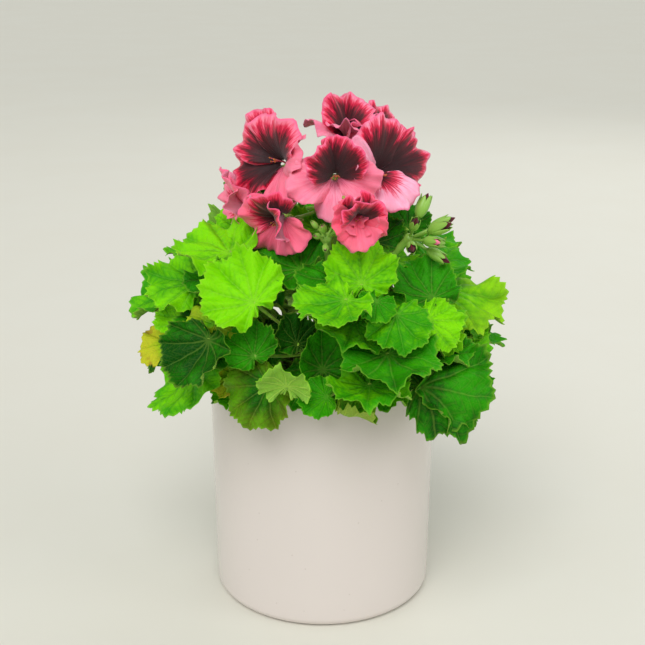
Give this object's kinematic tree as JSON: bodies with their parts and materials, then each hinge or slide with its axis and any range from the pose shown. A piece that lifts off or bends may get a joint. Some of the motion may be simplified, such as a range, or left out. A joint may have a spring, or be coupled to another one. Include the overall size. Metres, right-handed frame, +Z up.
{
  "type": "potted geranium",
  "caption": "Bushy geranium with toothed fan leaves, a head of ruffled two-tone flowers and clusters of buds, in a nursery pot inside a straight glazed cover pot.",
  "frame": {"origin": "centre of the cover pot's foot, on the surface that it stands on", "axes": "+Z up along the pot's axis, -Y towards the front of the plant, +X to its right"},
  "size_m": [0.2218, 0.2348, 0.3097],
  "materials": {
    "glaze": "gloss",
    "liner_plastic": "matte",
    "compost": "matte",
    "stem": "satin",
    "leaf": "satin",
    "petal": "satin",
    "sepal": "satin"
  },
  "bodies": {
    "root": {"bud_cluster_centre": "sepal", "bud_cluster_right": "sepal", "cover_pot": "glaze", "flower_1": "petal", "flower_2": "petal", "flower_3": "petal", "flower_4": "petal", "flower_5": "petal", "flower_6": "petal", "flower_7": "petal", "flower_8": "petal", "flower_stalk": "stem", "leaf_01": "leaf", "leaf_02": "leaf", "leaf_03": "leaf", "leaf_04": "leaf", "leaf_05": "leaf", "leaf_06": "leaf", "leaf_07": "leaf", "leaf_08": "leaf", "leaf_09": "leaf", "leaf_10": "leaf", "leaf_11": "leaf", "leaf_12": "leaf", "leaf_13": "leaf", "leaf_14": "leaf", "leaf_15": "leaf", "leaf_16": "leaf", "leaf_17": "leaf", "leaf_18": "leaf", "leaf_19": "leaf", "leaf_20": "leaf", "leaf_21": "leaf", "leaf_22": "leaf", "leaf_23": "leaf", "leaf_24": "leaf", "leaf_25": "leaf", "leaf_26": "leaf", "leaf_27": "leaf", "leaf_28": "leaf", "leaf_29": "leaf", "leaf_30": "leaf", "leaf_31": "leaf", "leaf_32": "leaf", "leaf_33": "leaf", "leaf_34": "leaf", "leaf_35": "leaf", "leaf_36": "leaf", "leaf_37": "leaf", "leaf_38": "leaf", "leaf_39": "leaf", "leaf_40": "leaf", "leaf_41": "leaf", "leaf_42": "leaf", "leaf_43": "leaf", "leaf_44": "leaf", "leaf_45": "leaf", "nursery_pot": "liner_plastic", "soil": "compost", "stem": "stem"}
  },
  "joints": []
}
